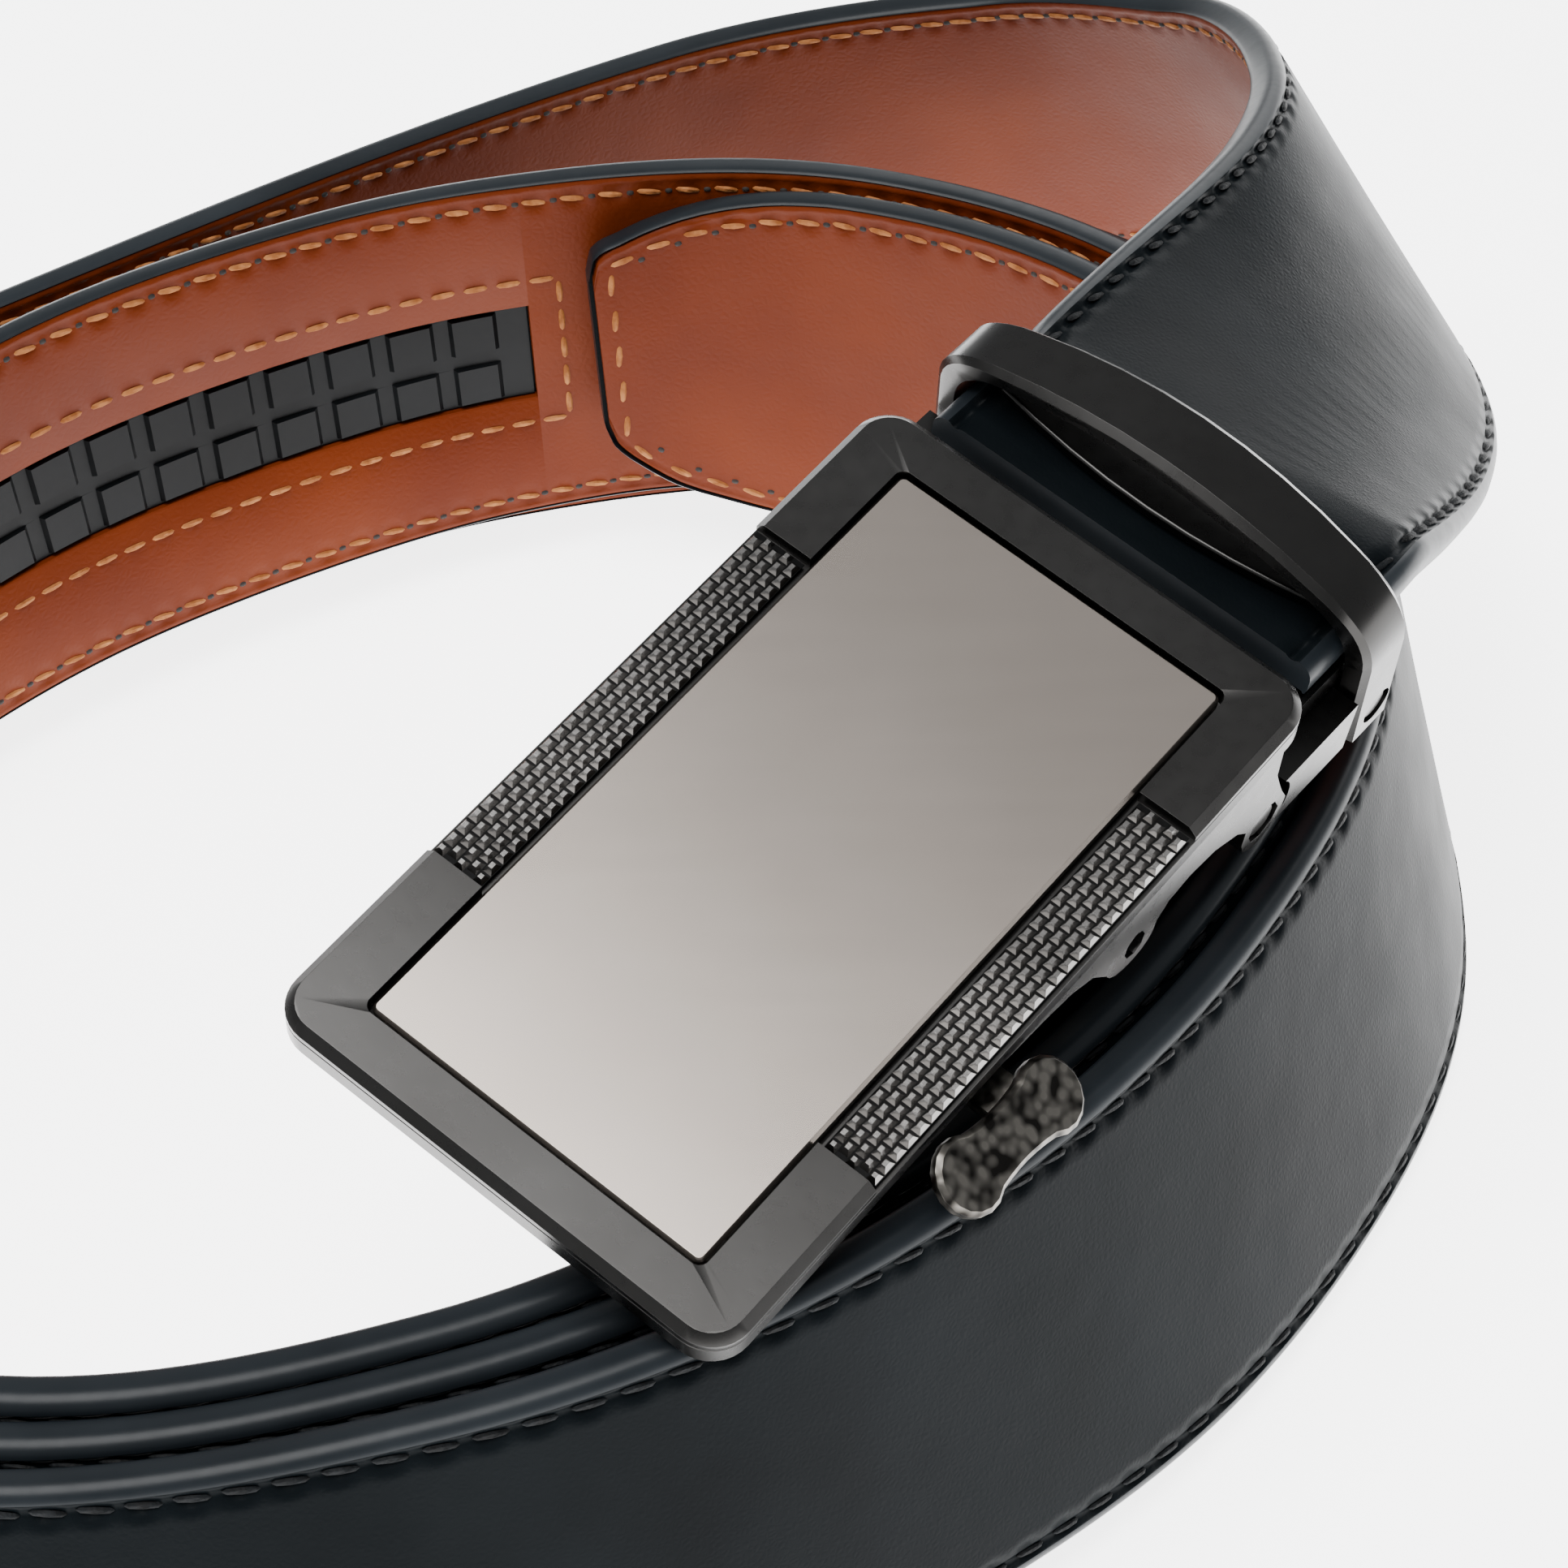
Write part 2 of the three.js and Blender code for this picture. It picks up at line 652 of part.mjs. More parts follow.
function releaseLever() {
  const pin_x = -lever_back;
  const pin_z = -lever_drop;
  const hub_half = wall_inner - (wall_side - half_frame) - hub_margin;
  const hub = crossPin(lever_hub_radius - seat_gap, -hub_half, hub_half, pin_x, pin_z);
  const bore = crossPin(lever_pin_radius + seat_gap, -frame_width, frame_width, pin_x, pin_z);
  const tooth = new THREE.Shape();
  tooth.moveTo(pin_x, pin_z - 1.2);
  tooth.lineTo(pin_x + pawl_length, pin_z - 0.8);
  tooth.lineTo(pin_x + pawl_length, pin_z + 1.6);
  tooth.lineTo(pin_x + pawl_length - 1.6, pin_z + 0.4);
  tooth.lineTo(pin_x, pin_z + 1.2);
  tooth.closePath();
  const pawl = upright(tooth, -pawl_width / 2, pawl_width / 2);
  // The arm runs back inside the wall, then out below the rail to the finger pad.
  const arm_y = -hub_half;
  const arm_z = pin_z + 0.3;
  const arm = block(-pad_back + 1, pin_x, arm_y, arm_y + 1.8, arm_z - 1.3, arm_z + 0.9);
  const foot = block(-pad_back + 1, -pad_back + 4.4, -pad_reach, arm_y + 1, arm_z + 0.2, arm_z + 1.5);
  const post = block(
    -pad_back + 1, -pad_back + 4.4, -pad_reach, -pad_reach + 1.6, arm_z + 1, -pad_drop - pad_thickness * 0.9,
  );
  const pad_shape = new THREE.Shape();
  const middle = pad_length / 2 - pad_lobe;
  const neck = pad_lobe * Math.sin(55 * degree);
  const shoulder = middle - pad_lobe * Math.cos(55 * degree);
  pad_shape.moveTo(-shoulder, -neck);
  pad_shape.quadraticCurveTo(0, -pad_waist * 2 + neck, shoulder, -neck);
  pad_shape.absarc(middle, 0, pad_lobe, -125 * degree, 125 * degree, false);
  pad_shape.quadraticCurveTo(0, pad_waist * 2 - neck, -shoulder, neck);
  pad_shape.absarc(-middle, 0, pad_lobe, 55 * degree, 305 * degree, false);
  const pad = slab(pad_shape, -pad_thickness, 0, 0.35, 6);
  pad.rotateX(pad_tilt * degree);
  pad.rotateY(pad_slope * degree);
  pad.translate(-pad_back, -pad_reach, -pad_drop);
  return [pawl, arm, foot, post, pad]
    .reduce((whole, part) => whole.add(solidOf(part)), solidOf(hub))
    .subtract(solidOf(bore));
}

const keeper_side = keeper_outside / 2;
const keeper_inner = keeper_side - keeper_wall;
const lug_outer = wall_inner - 0.8;
const lug_inner = lug_outer - clamp_wall;
const strap_under = strap_height - half_thickness;
const base_top = strap_under - seat_gap;

function clampBody() {
  const base_floor = base_top - clamp_wall;
  const base = block(lever_hub_radius + 2, clamp_length, -lug_outer, lug_outer, base_floor, base_top);
  let body = solidOf(base);
  for (const sign of [-1, 1]) {
    const side = (inner, outer) => (sign > 0 ? [inner, outer] : [-outer, -inner]);
    const lug = new THREE.Shape();
    lug.absarc(0, 0, ear_radius, 90 * degree, 270 * degree, false);
    lug.lineTo(clamp_length, -link_depth);
    lug.lineTo(clamp_length, base_top - clamp_wall / 2);
    lug.lineTo(ear_radius + 1, base_top - clamp_wall / 2);
    lug.closePath();
    const link = new THREE.Shape();
    const round = ear_radius + seat_gap + 0.5;
    const link_end = keeper_start - seat_gap * 2 - keeper_lean * link_top / keeper_height;
    link.absarc(0, 0, round, 50 * degree, -50 * degree, true);
    link.lineTo(link_end, -link_depth);
    link.lineTo(link_end, link_top);
    link.closePath();
    const [link0, link1] = side(lug_outer - 0.5, wall_side - 0.2);
    body = body
      .add(solidOf(upright(lug, ...side(lug_inner, lug_outer))))
      .add(solidOf(upright(link, link0, link1)));
  }
  const pin_bore = solidOf(crossPin(hinge_pin_radius + seat_gap, -wall_side * 2, wall_side * 2, 0, 0));
  const screw_bore = solidOf(
    crossPin(screw_radius + seat_gap, -wall_side * 2, wall_side * 2, screw_place, screw_height),
  );
  return body.subtract(pin_bore).subtract(screw_bore);
}

function clampPlate() {
  const half = half_width - clamp_plate_inset;
  const shape = new THREE.Shape();
  shape.moveTo(clamp_plate_start + clamp_plate_bow, -half);
  shape.lineTo(clamp_length, -half);
  shape.lineTo(clamp_length, half);
  shape.lineTo(clamp_plate_start + clamp_plate_bow, half);
  shape.quadraticCurveTo(clamp_plate_start - clamp_plate_bow, 0, clamp_plate_start + clamp_plate_bow, -half);
  const bottom = strap_height + half_thickness + seat_gap;
  return slab(shape, bottom, bottom + clamp_plate_thickness, 0.2, 8);
}

// The loop's arch, drawn across the strap: legs up to rounded corners and a bowed top.
function archShape(half, foot, height, corner, rise) {
  const shape = new THREE.Shape();
  shape.moveTo(half, foot);
  shape.lineTo(half, height - corner);
  shape.quadraticCurveTo(half, height, half - corner, height + rise * 0.35);
  shape.quadraticCurveTo(0, height + rise * 1.65, corner - half, height + rise * 0.35);
  shape.quadraticCurveTo(-half, height, -half, height - corner);
  shape.lineTo(-half, foot);
  shape.closePath();
  return shape;
}

// The loop leans towards the frame above the strap's underside.
function leanForward(geometry) {
  const place = geometry.attributes.position;
  for (let i = 0; i < place.count; i += 1) {
    const share = THREE.MathUtils.clamp(place.getZ(i) / keeper_height, 0, 1);
    place.setX(i, place.getX(i) - keeper_lean * share);
  }
}

function keeperLoop() {
  const foot = -keeper_foot;
  const outer = archShape(keeper_side, foot, keeper_height, keeper_corner, keeper_rise);
  const inner = archShape(
    keeper_inner, foot - 1, keeper_height - keeper_top, keeper_corner - keeper_top * 0.6, keeper_rise,
  );
  const band = (shape, x0, x1, bevel) => {
    const geometry = slab(shape, x0, x1, bevel, 8);
    geometry.rotateX(Math.PI / 2);
    geometry.rotateZ(Math.PI / 2);
    return geometry;
  };
  // Its strap side is bowed, furthest out at the middle of the arch.
  const whole = band(outer, keeper_start, keeper_start + keeper_width, 0.5);
  const place = whole.attributes.position;
  for (let i = 0; i < place.count; i += 1) {
    const share = (place.getX(i) - keeper_start) / keeper_width;
    const middle = 1 - (place.getY(i) / keeper_side) ** 2;
    const height = (place.getZ(i) - strap_height) / (keeper_height - strap_height);
    const above = THREE.MathUtils.clamp(height, 0, 1);
    place.setX(i, place.getX(i) + keeper_bow * share * middle * above);
  }
  leanForward(whole);
  const far_side = keeper_start + keeper_width + keeper_bow + 1;
  const opening = band(inner, keeper_start - keeper_lean - 1, far_side, 0);
  const bore = crossPin(screw_radius + seat_gap, -keeper_outside, keeper_outside, screw_place, screw_height);
  return solidOf(whole).subtract(solidOf(opening)).subtract(solidOf(bore));
}

function keeperScrew(sign) {
  const inner = lug_inner + 0.1;
  const outer = keeper_side - 0.2;
  const [y0, y1] = sign > 0 ? [inner, outer] : [-outer, -inner];
  return crossPin(screw_radius, y0, y1, screw_place, screw_height);
}

const leather = material(0x15181a, 0.32, 0);
const tan_leather = material(0x8a4a22, 0.6, 0);
const black_plastic = material(0x101010, 0.4, 0);
const gunmetal = material(0x4a4a4a, 0.3, 1);
const satin_metal = material(0xb8aea6, 0.35, 1);
const dark_metal = material(0x2c2b2a, 0.4, 1);

const belt = new THREE.Group();
belt.add(
  piece('strap_outer', strapOuter(), leather),
  piece('strap_lining', strapLining(), tan_leather),
  piece('ratchet_track', ratchetTrack(), black_plastic),
);
buckle.add(
  piece('buckle_frame', buckleFrame(), gunmetal),
  piece('face_plate', facePlate(), satin_metal),
  piece('knurl_strip_left', knurlStrip(1), dark_metal),
  piece('knurl_strip_right', knurlStrip(-1), dark_metal),
  piece('hinge_pin', hingePin(), gunmetal),
  piece('lever_pin', leverPin(), gunmetal),
  piece('release_lever', releaseLever(), gunmetal),
);
clampGroup.add(
  piece('clamp', clampBody(), gunmetal),
  piece('clamp_plate', clampPlate(), dark_metal),
  piece('keeper_loop', keeperLoop(), gunmetal),
  piece('keeper_screw_left', keeperScrew(1), gunmetal),
  piece('keeper_screw_right', keeperScrew(-1), gunmetal),
);
belt.add(buckle);

// The origin is under the middle of the belt's bounding box.
belt.updateMatrixWorld(true);
const bounds = new THREE.Box3().setFromObject(belt, true);
const middle = bounds.getCenter(new THREE.Vector3());
belt.position.set(-middle.x, -middle.y, -bounds.min.z);

export default belt;
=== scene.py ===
"""The looks of the ratchet belt: a fine stitched strap, its track and the metal's finishes."""
import math

import bpy
from mathutils import Matrix, Quaternion, Vector


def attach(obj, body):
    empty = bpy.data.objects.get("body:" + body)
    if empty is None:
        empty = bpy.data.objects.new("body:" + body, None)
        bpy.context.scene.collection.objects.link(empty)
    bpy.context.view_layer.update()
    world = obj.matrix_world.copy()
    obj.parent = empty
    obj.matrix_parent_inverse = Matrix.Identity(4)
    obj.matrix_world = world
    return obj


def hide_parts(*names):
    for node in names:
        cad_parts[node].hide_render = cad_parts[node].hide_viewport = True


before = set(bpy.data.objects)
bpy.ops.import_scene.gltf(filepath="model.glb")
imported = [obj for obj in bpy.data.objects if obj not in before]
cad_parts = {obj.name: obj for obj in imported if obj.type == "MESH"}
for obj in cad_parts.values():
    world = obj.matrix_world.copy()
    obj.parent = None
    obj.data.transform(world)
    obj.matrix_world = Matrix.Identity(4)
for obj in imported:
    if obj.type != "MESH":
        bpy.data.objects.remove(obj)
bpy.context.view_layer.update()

# Lengths are in millimetres up to the studio, and angles in degrees.
MM = 0.001
DEGREE = math.pi / 180
SHARP_ANGLE = 50.0

# Where the drawing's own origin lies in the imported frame.
SHIFT = Vector((4.2753, 9.6050, 0.1908))

# The strap, as the CAD has it.
STRAP_WIDTH = 35.0
STRAP_THICKNESS = 3.0
EDGE_RADIUS = 1.25
LIP_WIDTH = 0.35
LINING_THICKNESS = 1.0
TIP_LENGTH = 22.0
COIL_RADIUS = 65.0
COIL_CENTRE = Vector((-5.0, -15.0, 0.0))
LAYER_PITCH = 5.3
TIP_TURN = 9.0
TAIL_TURN = 1046.0
TAIL_TURN_STEP = 12.0
TRACK_WIDTH = 9.8
TRACK_START = 110.0
TRACK_END = 420.0
TOOTH_PITCH = 5.9
TOOTH_HEIGHT = 0.5
GROOVE_HALF = 0.7

# How finely the strap is drawn, and how near a ring may come to an end or to a stop.
FINE_TURN = 1.6
TAIL_STEPS = 110
CAP_CLEAR = 0.3
STOP_CLEAR = 0.2

# The strap's section, across and outward from its middle.
HALF = STRAP_WIDTH / 2
FACE = STRAP_THICKNESS / 2
BACK = -FACE
LINING_FLOOR = BACK + LINING_THICKNESS
# At the clamp's end the leather is closed, but for a thin skin.
END_SOLID = 9.0
END_STEP = 0.2
END_FLOOR = BACK + 0.3

# The stitching.
STITCH_INSET = 1.95
STITCH_PITCH = 3.4
STITCH_LENGTH = 2.5
STITCH_RADIUS = 0.3
STITCH_SLANT = 7.0
STITCH_START = 3.2
STITCH_END_CLEAR = 4.0
SEAM_DEPTH = 0.28
SEAM_HALF = 0.55
PUCKER_FADE = 0.55
WINDOW_STITCH_ACROSS = 7.5
WINDOW_STITCH_PAST = 2.9
WINDOW_STITCH_PITCH = 3.0
WINDOW_STITCH_LENGTH = 2.22
HOLE_LENGTH = 0.7
HOLE_RADIUS = 0.26
# A thread's bead: along and thick as shares of its length and radius, and how far it rises.
BEAD_SIDES = 6
BEAD_FLATNESS = 0.7
BEAD_RINGS = (
    (-0.5, 0.25, -0.25), (-0.38, 0.8, -0.02), (0.0, 1.0, 0.08), (0.38, 0.8, -0.02),
    (0.5, 0.25, -0.25),
)
# The strap's direction at a stitch is read over this length.
DIRECTION_STEP = 0.5

# The leather's section: inset from the edge and rise from the back, then the round edge's turns.
INNER_EDGE = ((LIP_WIDTH, 0.2), (0.24, 0.1), (0.12, 0.22), (0.03, 0.55), (0, 1.0))
ROUND_TURNS = (90, 68, 45, 22, 0)
# The pressed seam: across from its middle, and depth. Its last point lies on the flat face.
SEAM_SECTION = (
    (SEAM_HALF, 0.02), (SEAM_HALF / 2, SEAM_DEPTH * 0.8), (0, SEAM_DEPTH),
    (-SEAM_HALF / 2, SEAM_DEPTH * 0.8), (-SEAM_HALF, 0.03), (-1.6, 0),
)
FLAT_SHARE = 0.45

# The lining's section at the strap's edge, with the seam's hollow, and at the track's window.
LINING_INSET = LIP_WIDTH + 0.04
LINING_LIFT = 0.02
LINING_END_GAP = 0.5
LINING_EDGE = ((0, 0.2), (0.3, 0), (0.55, 0.03), (0.87, 0.1), (1.2, 0.03), (1.6, 0))
WINDOW_EDGE = ((0, 0.12), (0.15, 0))

# The track's section and blocks: along and height.
TRACK_SIDE_GAP = 0.15
TRACK_END_GAP = 0.2
TRACK_SINK = 0.05
TRACK_RIM = 0.25
VALLEY_RISE = 0.1
BLOCK_SLANT = 0.12
SLANT_FROM = 0.1
BLOCK_STEPS = ((0, 0), (0.3, TOOTH_HEIGHT), (4.1, TOOTH_HEIGHT * 0.8), (4.5, 0.02))

# The buckle.
BUCKLE_PLACE = Vector((42.73, -30.31, 56.88)) + SHIFT
BUCKLE_TURNS = (15.3, -10.65, 47.3)
CLAMP_DROOP = 6.0
HINGE_BACK = 4.95
HINGE_DROP = 11.0
CLAMP_RUN_START = 19.5
STRAP_END = 7.5
STRAP_HEIGHT = 6.9

# The knurled strips, in the buckle's own place.
KNURL_INNER, KNURL_OUTER = 15.2, 19.65
KNURL_START, KNURL_LENGTH = -50.35, 35.2
KNURL_FOOT, KNURL_FLOOR, KNURL_TOP = -0.9, -0.78, -0.36
KNURL_COLUMNS, KNURL_ROWS = 28, 5
KNURL_STAGGER = (0.25, 0.75)
KNURL_HALF_ALONG, KNURL_HALF_ACROSS = 0.44, 0.46
KNURL_TIP_SHARE = 0.42

# The metal's softened edges.
BEVEL_SEGMENTS = 3
BEVEL_ANGLE = 28.0
WELD_DISTANCE = 1e-5

# The coil's outline: heading and reach as a share of COIL_RADIUS.
OVAL = [
    (-180, 1.02), (-150, 1.17), (-120, 1.21), (-90, 1.03), (-60, 0.905), (-30, 0.885),
    (0, 0.97), (30, 1.06), (60, 0.995), (90, 0.86), (120, 0.80), (150, 0.86),
]
# The strap's course: turn, rise and swing as shares of STRAP_WIDTH, lean in degrees.
COURSE = [
    (0, 0.11, 0, 7), (60, 0.13, 0, -3), (120, 0.07, 0, -7), (180, 0, 0, -9), (225, 0, 0, -8),
    (270, 0.05, 0, -2), (315, 0.14, 0, 6), (345, 0.135, 0, 6), (375, 0.13, 0, 1),
    (405, 0.09, 0, 2), (450, 0.045, 0, -8), (495, 0.025, 0, -10), (540, 0.015, 0, -14),
    (585, 0, 0, -13), (630, 0, 0, -1), (675, 0, 0, 4), (765, 0, 0, -3), (810, 0, 0, -14),
    (850, 0.035, 0, -14), (880, 0.07, 0, -10), (920, 0.03, 0, -18), (960, 0.035, 0, -6),
    (1010, 0.015, 0.035, 1), (1050, 0, 0.075, 3),
]
# The tip's outline: along, and how much of the half width is left above and below.
TIP_OUTLINE = [
    (0, 0.6, 0.3), (0.03, 0.72, 0.42), (0.14, 0.79, 0.57), (0.28, 0.86, 0.71),
    (0.48, 0.93, 0.83), (0.73, 0.98, 0.94), (1, 1, 1),
]
# The columns of that table for the strap's upper and lower side.
ABOVE, BELOW = 1, 2
TIP_STOPS = [row[0] * TIP_LENGTH for row in TIP_OUTLINE[1:]] + [0.25, 0.5, 1.2, 2, 4, 8, 13]
# The last stretch: across and away as shares of COIL_RADIUS, height of STRAP_WIDTH, and lean.
TAIL = [
    (0.24, 1.406, 0.515, -6), (0.764, 1.469, 0.613, -14), (1.1, 1.241, 0.822, -26),
    (1.19, 0.855, 1.018, -30), (1.132, 0.492, 1.202, -45),
]


# The strap's course.

def smooth_row(rows, column, at):
    """One column of a table, read smoothly between its rows."""
    last = len(rows) - 1
    i = 0
    while i < last - 1 and rows[i + 1][0] <= at:
        i += 1

    def slope(j):
        before, after = rows[max(j - 1, 0)], rows[min(j + 1, last)]
        return (after[column] - before[column]) / (after[0] - before[0])

    span = rows[i + 1][0] - rows[i][0]
    u = (at - rows[i][0]) / span
    rise = (3 - 2 * u) * u * u
    value = rows[i][column] * (1 - rise) + rows[i + 1][column] * rise
    return value + u * (1 - u) * span * ((1 - u) * slope(i) - u * slope(i + 1))


WHOLE_OVAL = sorted(
    (heading + lap * 360, reach) for lap in (-2, -1, 0, 1) for heading, reach in OVAL
)


def coil_point(turn):
    """The strap's middle and its lean at a turn of the coil."""
    around = (90 - turn + 180) % 360 - 180
    reach = smooth_row(WHOLE_OVAL, 1, around) * COIL_RADIUS
    radius = reach + LAYER_PITCH * turn / 360 + smooth_row(COURSE, 2, turn) * STRAP_WIDTH
    lean = smooth_row(COURSE, 3, turn) * DEGREE
    rise = max(smooth_row(COURSE, 1, turn), 0) * STRAP_WIDTH
    place = Vector((
        radius * math.cos(around * DEGREE),
        radius * math.sin(around * DEGREE),
        rise + HALF * math.cos(lean),
    ))
    return place + COIL_CENTRE + SHIFT, lean


def turned(x, y, z):
    return (
        Matrix.Rotation(z * DEGREE, 4, "Z")
        @ Matrix.Rotation(y * DEGREE, 4, "Y")
        @ Matrix.Rotation(x * DEGREE, 4, "X")
    )


BUCKLE = Matrix.Translation(BUCKLE_PLACE) @ turned(*BUCKLE_TURNS)
CLAMP = (
    BUCKLE
    @ Matrix.Translation((-HINGE_BACK, 0, -HINGE_DROP))
    @ turned(0, CLAMP_DROOP, 0)
)


def side_and_upright(travel):
    side = Vector((-travel.y, travel.x, 0)).normalized()
    upright = travel.cross(side)
    if upright.z < 0:
        upright.negate()
    return side, upright


def clamp_run():
    """The strap's straight end in the clamp, as three places and their lean."""
    travel = (CLAMP.to_3x3() @ Vector((-1, 0, 0))).normalized()
    across = (CLAMP.to_3x3() @ Vector((0, 1, 0))).normalized()
    side, upright = side_and_upright(travel)
    lean = math.atan2(across.dot(side), across.dot(upright))
    reach = STRAP_END - CLAMP_RUN_START
    return [
        (CLAMP @ Vector((CLAMP_RUN_START + reach * share, 0, STRAP_HEIGHT)), lean)
        for share in (0, 0.5, 1)
    ]


def tail_bends():
    """The last stretch, from the coil up to the clamp."""
    return [
        (
            Vector((x * COIL_RADIUS, y * COIL_RADIUS, z * STRAP_WIDTH)) + COIL_CENTRE + SHIFT,
            lean * DEGREE,
        )
        for x, y, z, lean in TAIL
    ]


def strap_stations():
    """The strap's middle line as (along, place, up, out), finely drawn."""
    span = TAIL_TURN - TIP_TURN
    fine = round(span / FINE_TURN)
    coarse = round(span / TAIL_TURN_STEP)
    kept = int(fine * (coarse - 1) / coarse)
    points = [coil_point(TIP_TURN + span * i / fine) for i in range(kept + 1)]
    lead = [coil_point(TIP_TURN + span * i / coarse) for i in (coarse - 2, coarse - 1)]
    run = clamp_run()
    rows, reach, previous = [], 0.0, lead[0][0]
    for place, lean in [*lead, *tail_bends(), *run]:
        reach += (place - previous).length
        rows.append((reach, *place, lean))
        previous = place
    start, end = rows[1][0], rows[-len(run)][0]
    for i in range(1, TAIL_STEPS):
        at = start + (end - start) * i / TAIL_STEPS
        place = Vector([smooth_row(rows, column, at) for column in (1, 2, 3)])
        points.append((place, smooth_row(rows, 4, at)))
    points.extend(run)
    stations, along = [], 0.0
    for i, (place, lean) in enumerate(points):
        before, after = points[max(i - 1, 0)][0], points[min(i + 1, len(points) - 1)][0]
        side, upright = side_and_upright((after - before).normalized())
        up = upright * math.cos(lean) + side * math.sin(lean)
        out = side * math.cos(lean) - upright * math.sin(lean)
        along += (place - before).length
        stations.append((along, place, up, out))
    return stations


STATIONS = strap_stations()
STRAP_LENGTH = STATIONS[-1][0]


def station_at(along):
    """The strap's middle, its up and its out at a length along it."""
    low, high = 0, len(STATIONS) - 1
    while high - low > 1:
        middle = (low + high) // 2
        if STATIONS[middle][0] <= along:
            low = middle
        else:
            high = middle
    a, b = STATIONS[low], STATIONS[high]
    u = (along - a[0]) / (b[0] - a[0])
    return (
        a[1].lerp(b[1], u),
        a[2].lerp(b[2], u).normalized(),
        a[3].lerp(b[3], u).normalized(),
    )


def half_width(side, along):
    """The strap's half width above or below its middle, narrower at the tip."""
    return HALF * smooth_row(TIP_OUTLINE, side, min(max(along, 0) / TIP_LENGTH, 1))


# Meshes.

def new_object(name, points, faces, materials, body, slots=None, smooth=True):
    mesh = bpy.data.meshes.new(name)
    mesh.from_pydata([tuple(p * MM for p in point) for point in points], [], faces)
    for material in materials:
        mesh.materials.append(material)
    if slots is not None:
        mesh.polygons.foreach_set("material_index", slots)
    mesh.polygons.foreach_set("use_smooth", [smooth] * len(faces))
    mesh.update()
    if smooth:
        mesh.set_sharp_from_angle(angle=SHARP_ANGLE * DEGREE)
    made = bpy.data.objects.new(name, mesh)
    bpy.context.scene.collection.objects.link(made)
    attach(made, body)
    return made


def ribbon(start, end, stops, profile_at):
    """Rings of points along the strap, capped: points, faces, and (along, across) of each point."""
    places = sorted({
        start, end,
        *[s for s in stops if start < s < end],
        *[
            s[0] for s in STATIONS
            if start + CAP_CLEAR < s[0] < end - CAP_CLEAR
            and all(abs(s[0] - stop) > STOP_CLEAR for stop in stops)
        ],
    })
    ring = len(profile_at(start))
    points, faces, flat = [], [], []
    for i, along in enumerate(places):
        place, up, out = station_at(along)
        for across, outward in profile_at(along):
            points.append(place + up * across + out * outward)
            flat.append((along, across))
        if i:
            a, b = (i - 1) * ring, i * ring
            for j in range(ring):
                k = (j + 1) % ring
                faces.append((a + j, a + k, b + k, b + j))
    last = (len(places) - 1) * ring
    faces.append(tuple(range(ring))[::-1])
    faces.append(tuple(last + j for j in range(ring)))
    return points, faces, flat


def facing_out(points, faces):
    """The faces, all turned round if they enclose a negative volume."""
    volume = 0.0
    for face in faces:
        for i in range(1, len(face) - 1):
            a, b, c = points[face[0]], points[face[i]], points[face[i + 1]]
            volume += a.dot(b.cross(c))
    return faces if volume > 0 else [tuple(reversed(face)) for face in faces]


def lay_flat(made, flat):
    """Gives the piece its own flat coordinates along and across the strap."""
    layer = made.data.uv_layers.new(name="strap")
    for loop in made.data.loops:
        layer.data[loop.index].uv = flat[loop.vertex_index]


# Materials. Scales are per metre and bump distances in metres.

def new_material(name):
    material = bpy.data.materials.new(name)
    material.use_nodes = True
    nodes = material.node_tree.nodes
    return material, nodes, material.node_tree.links, nodes["Principled BSDF"]


def add(nodes, kind, **values):
    """A new node. Values that start with in_ go to its inputs, the others to its settings."""
    node = nodes.new(kind)
    for key, value in values.items():
        if key.startswith("in_"):
            node.inputs[key[3:].replace("_", " ")].default_value = value
        else:
            setattr(node, key, value)
    return node


def own_place(nodes):
    return nodes.new("ShaderNodeTexCoord").outputs["Object"]


def strap_place(nodes, links):
    """Along and across the strap, from the piece's flat coordinates."""
    flat = add(nodes, "ShaderNodeUVMap", uv_map="strap")
    parts = add(nodes, "ShaderNodeSeparateXYZ")
    links.new(flat.outputs["UV"], parts.inputs[0])
    return parts.outputs[0], parts.outputs[1]


def colour_from(nodes, links, shader, source, dark, light, span):
    """The base colour, from dark to light while the source goes through the span."""
    node = nodes.new("ShaderNodeValToRGB")
    for element, position, colour in zip(node.color_ramp.elements, span, (dark, light)):
        element.position = position
        element.color = (*colour, 1)
    links.new(source, node.inputs["Fac"])
    links.new(node.outputs["Color"], shader.inputs["Base Color"])


def roughness_from(nodes, links, shader, source, rough):
    spread = add(nodes, "ShaderNodeMapRange", in_To_Min=rough[0], in_To_Max=rough[1])
    links.new(source, spread.inputs["Value"])
    links.new(spread.outputs[0], shader.inputs["Roughness"])


def noise(nodes, links, scale, detail=4.0, source=None):
    node = add(nodes, "ShaderNodeTexNoise", in_Scale=scale, in_Detail=detail)
    links.new(own_place(nodes) if source is None else source, node.inputs["Vector"])
    return node.outputs["Fac"]


def cells(nodes, links, scale, feature):
    node = add(nodes, "ShaderNodeTexVoronoi", feature=feature, in_Scale=scale)
    links.new(own_place(nodes), node.inputs["Vector"])
    return node.outputs["Distance"]


def bump(nodes, links, height, strength, distance, below=None):
    node = add(nodes, "ShaderNodeBump", in_Strength=strength, in_Distance=distance)
    links.new(height, node.inputs["Height"])
    if below is not None:
        links.new(below, node.inputs["Normal"])
    return node.outputs["Normal"]


def maths(nodes, links, operation, *values):
    node = add(nodes, "ShaderNodeMath", operation=operation)
    for i, value in enumerate(values):
        if isinstance(value, (int, float)):
            node.inputs[i].default_value = value
        else:
            links.new(value, node.inputs[i])
    return node.outputs[0]


